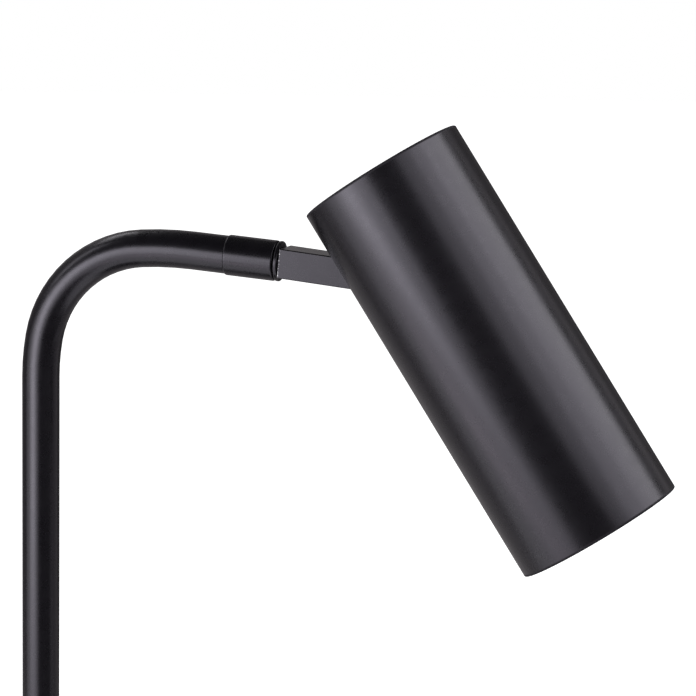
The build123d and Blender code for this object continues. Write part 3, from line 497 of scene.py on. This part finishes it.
def powder_coat(name, chipped=None, matt_ends=None):
    """Satin black powder coat: fine orange peel, faint mottling, edges rubbed or chipped to metal."""
    material, tree, shader = principled(name, COAT_COLOUR, COAT_ROUGHNESS)
    shader.inputs["Specular Tint"].default_value = COAT_SPECULAR_TINT
    mottle = ramp(tree, noise(tree, *COAT_MOTTLE), 0.0, 1.0)
    colour = blend_colours(tree, mottle, *COAT_MOTTLE_COLOURS)
    spots = ramp(tree, noise(tree, *WEAR_SPOTS), 0.0, WEAR_MOST, *WEAR_LIMITS)
    rub = calculate(tree, "MULTIPLY", edges(tree, WEAR_WIDTH), spots)
    colour = blend_colours(tree, rub, colour, WEAR_COLOUR)
    if chipped:
        bare = chips(tree, *chipped)
        colour = blend_colours(tree, bare, colour, CHIP_COLOUR)
        tree.links.new(bare, shader.inputs["Metallic"])
    tree.links.new(colour, shader.inputs["Base Color"])
    gloss = ramp(tree, noise(tree, *COAT_GLOSS), *COAT_GLOSS_RANGE)
    if matt_ends:
        gloss = calculate(tree, "MULTIPLY_ADD", near_ends(tree, *matt_ends), MATT_ROUGHNESS, gloss)
    tree.links.new(gloss, shader.inputs["Roughness"])
    peel = bump(tree, shader, noise(tree, *COAT_PEEL), COAT_PEEL_HEIGHT)
    bump(tree, shader, noise(tree, *COAT_FINE_PEEL), COAT_FINE_PEEL_HEIGHT, before=peel)
    return material


def metal(name, colour, roughness):
    """Plain metal with a fine grain, cloudy tint and roughness that varies."""
    material, tree, shader = principled(name, colour, roughness, 1.0)
    cloud = ramp(tree, noise(tree, *METAL_CLOUD), 0.0, 1.0)
    tint = blend_colours(tree, cloud, darker(colour, METAL_DARKEST), colour)
    tree.links.new(tint, shader.inputs["Base Color"])
    grain = noise(tree, *METAL_GRAIN)
    gloss = ramp(tree, grain, roughness - METAL_SPREAD, roughness + METAL_SPREAD)
    tree.links.new(gloss, shader.inputs["Roughness"])
    bump(tree, shader, grain, METAL_GRAIN_HEIGHT)
    return material


def moulded(name, colour, roughness, grain_scale, grain_height):
    """Plastic, rubber, ceramic, fibre or rough casting with a grain and slight mottling."""
    material, tree, shader = principled(name, colour, roughness)
    cloud = ramp(tree, noise(tree, *MOULDED_CLOUD), 0.0, 1.0)
    tint = blend_colours(tree, cloud, darker(colour, MOULDED_DARKEST), colour)
    tree.links.new(tint, shader.inputs["Base Color"])
    low, high = roughness - MOULDED_SPREAD, roughness + MOULDED_SPREAD
    tree.links.new(ramp(tree, noise(tree, *MOULDED_GLOSS), low, high), shader.inputs["Roughness"])
    bump(tree, shader, noise(tree, grain_scale, MOULDED_GRAIN_DETAIL), grain_height)
    return material


def felt():
    """Black felt: matted fibres that lie every way, thinner patches, paler specks of lint, and a painted
    highlight on the raised fibres.
    """
    material, tree, shader = principled("black_felt", FELT_COLOUR, FELT_ROUGHNESS)
    fibres = noise(tree, *FELT_FIBRES)
    patches = ramp(tree, noise(tree, *FELT_PATCHES), 0.0, 1.0)
    colour = blend_colours(tree, patches, *FELT_PATCH_COLOURS)
    # painted highlight: where the pile's bump is highest, the fibres are painted lighter
    painted_fibre_highlight = ramp(tree, fibres, 0.0, 1.0, *FELT_FIBRE_HIGHLIGHT_LIMITS)
    colour = blend_colours(tree, painted_fibre_highlight, colour, FELT_FIBRE_HIGHLIGHT_COLOUR)
    lint = ramp(tree, noise(tree, *FELT_LINT), 0.0, FELT_LINT_MOST, *FELT_LINT_LIMITS)
    colour = blend_colours(tree, lint, colour, FELT_LINT_COLOUR)
    tree.links.new(colour, shader.inputs["Base Color"])
    shader.inputs["Sheen Weight"].default_value = FELT_SHEEN
    bump(tree, shader, fibres, FELT_PILE_HEIGHT)
    return material


def lens_glass():
    """Clear moulded lens with a lattice of small dimples."""
    material, tree, shader = principled("lens_glass", LENS_COLOUR, LENS_ROUGHNESS)
    shader.inputs["Transmission Weight"].default_value = LENS_TRANSMISSION
    shader.inputs["IOR"].default_value = LENS_IOR
    gloss = ramp(tree, noise(tree, *LENS_GLOSS), *LENS_GLOSS_RANGE)
    tree.links.new(gloss, shader.inputs["Roughness"])
    across = Vector((0.0, 1.0, 0.0))
    up = SHADE_DIRECTION.cross(across)
    bump(tree, shader, dimples(tree, across + up, across - up, LENS_PITCH), LENS_DEPTH)
    return material


def make_materials():
    """One material for each finish, given to the nodes that have it."""
    shade_ends = (SHADE_TOP, SHADE_DIRECTION, SHADE_LENGTH, MATT_REACH)
    bar_start = ARM_END + ARM_DIRECTION * ARM_END_TO_BAR
    bar_end = (bar_start, ARM_DIRECTION, CHIP_REACH)
    materials = {
        "black_powder_coat": powder_coat("black_powder_coat"),
        "black_powder_coat_shade": powder_coat("black_powder_coat_shade", matt_ends=shade_ends),
        "black_powder_coat_bar": powder_coat("black_powder_coat_bar", chipped=bar_end),
        "black_felt": felt(),
        "lens_glass": lens_glass(),
    }
    for name, values in METALS.items():
        materials[name] = metal(name, *values)
    for name, values in MOULDED.items():
        materials[name] = moulded(name, *values)
    for finish, names in FINISHES.items():
        for name in names:
            data = NODES[name].data
            data.materials.clear()
            data.materials.append(materials[finish])


# ---------------------------------------------------------------- the switch's nut

NUT_BORE_RADIUS = 0.00605
NUT_CHAMFER = 0.00067
KNURL_TEETH = 72
KNURL_DEPTH = 0.00022
# heights above the nut's foot where the knurl starts and where it has its full depth
KNURL_FROM = 0.00025
KNURL_FULL_FROM = 0.000375


def knurled_nut():
    """The switch's round nut with the straight knurl that fingers grip, in place of the plain solid."""
    low, high = (Vector(corner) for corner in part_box("switch_nut"))
    middle = (low + high) / 2
    radius = (high.x - low.x) / 2
    shoulder = high.z - NUT_CHAMFER
    # each loop: (radius, height, depth of its valleys)
    loops = (
        (NUT_BORE_RADIUS, low.z, 0),
        (radius, low.z, 0),
        (radius, low.z + KNURL_FROM, 0),
        (radius, low.z + KNURL_FULL_FROM, KNURL_DEPTH),
        (radius, shoulder, KNURL_DEPTH),
        (radius - NUT_CHAMFER, high.z, 0),
        (NUT_BORE_RADIUS, high.z, 0),
    )
    steps = 2 * KNURL_TEETH
    points = []
    for reach, height, depth in loops:
        for index in range(steps):
            turn = 2 * math.pi * index / steps
            out = reach - depth * (index % 2)
            points.append((middle.x + out * math.cos(turn), middle.y + out * math.sin(turn), height))
    faces = []
    for loop in range(len(loops)):
        start = loop * steps
        after = (loop + 1) % len(loops) * steps
        for index in range(steps):
            beside = (index + 1) % steps
            faces.append((start + index, start + beside, after + beside, after + index))
    mesh = bpy.data.meshes.new("knurled_switch_nut")
    mesh.from_pydata(points, [], faces)
    mesh.materials.append(NODES["switch_nut"].data.materials[0])
    nut = bpy.data.objects.new("knurled_switch_nut", mesh)
    bpy.context.scene.collection.objects.link(nut)
    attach(nut, "base")
    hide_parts("switch_nut")


# ---------------------------------------------------------------- the leads and the button's spring, as pieces of their own

PIVOT = Vector((0.1190053, 0.0, 0.3798777))
LEAD_BEND_REACH = 0.007
LEAD_BEND_RINGS = 12
# the leads come down to the base, which reaches under the head: whatever lies lower belongs to the base
HEAD_LOWEST = 0.2
WELD_DISTANCE = 0.000001


def past_the_arm(place):
    """How far a point of the leads lies past the arm's end: below zero in the arm, stem and base."""
    if place.z < HEAD_LOWEST:
        return -1.0
    return (place - ARM_END).dot(ARM_DIRECTION)


def cut_across(form, point):
    """Divides a mesh along the plane across the arm's direction at a point, and takes nothing away."""
    everything = form.verts[:] + form.edges[:] + form.faces[:]
    bmesh.ops.bisect_plane(form, geom=everything, plane_co=point, plane_no=ARM_DIRECTION)


def piece_of(node, name, side=0, rings=()):
    """A copy of a node's mesh in its place: all of it, or only the side in the arm, -1, or in the head, 1.
    It is divided into rings across the arm's direction at some points."""
    form = bmesh.new()
    form.from_mesh(NODES[node].data)
    bmesh.ops.remove_doubles(form, verts=form.verts[:], dist=WELD_DISTANCE)
    if side:
        cut_across(form, ARM_END)
        outside = [vert for vert in form.verts if side * past_the_arm(vert.co) < -WELD_DISTANCE]
        bmesh.ops.delete(form, geom=outside, context="VERTS")
        bmesh.ops.holes_fill(form, edges=[edge for edge in form.edges if edge.is_boundary])
    for point in rings:
        cut_across(form, point)
    mesh = bpy.data.meshes.new(name)
    form.to_mesh(mesh)
    form.free()
    mesh.materials.clear()
    mesh.materials.append(NODES[node].data.materials[0])
    piece = bpy.data.objects.new(name, mesh)
    bpy.context.scene.collection.objects.link(piece)
    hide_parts(node)
    return piece


def make_leads():
    """The leads in the arm ride on the base; those in the head are a piece of their own, divided into
    rings round the tilt pivot.
    """
    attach(piece_of("lamp_leads", "leads_in_arm", -1), "base")
    reach = ARM_DIRECTION * LEAD_BEND_REACH
    rings = [PIVOT + reach * (2 * i / LEAD_BEND_RINGS - 1) for i in range(LEAD_BEND_RINGS + 1)]
    inside = piece_of("lamp_leads", "leads_in_head", 1, rings)
    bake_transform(inside)


def make_spring():
    """The spring under the button, as a piece of its own on the base."""
    spring = piece_of("button_spring", "button_return_spring")
    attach(spring, "base")
    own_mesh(spring)


# ---------------------------------------------------------------- the scene

bpy.context.scene.view_settings.view_transform = "Standard"
make_camera()
make_studio()
make_materials()
knurled_nut()
make_leads()
make_spring()
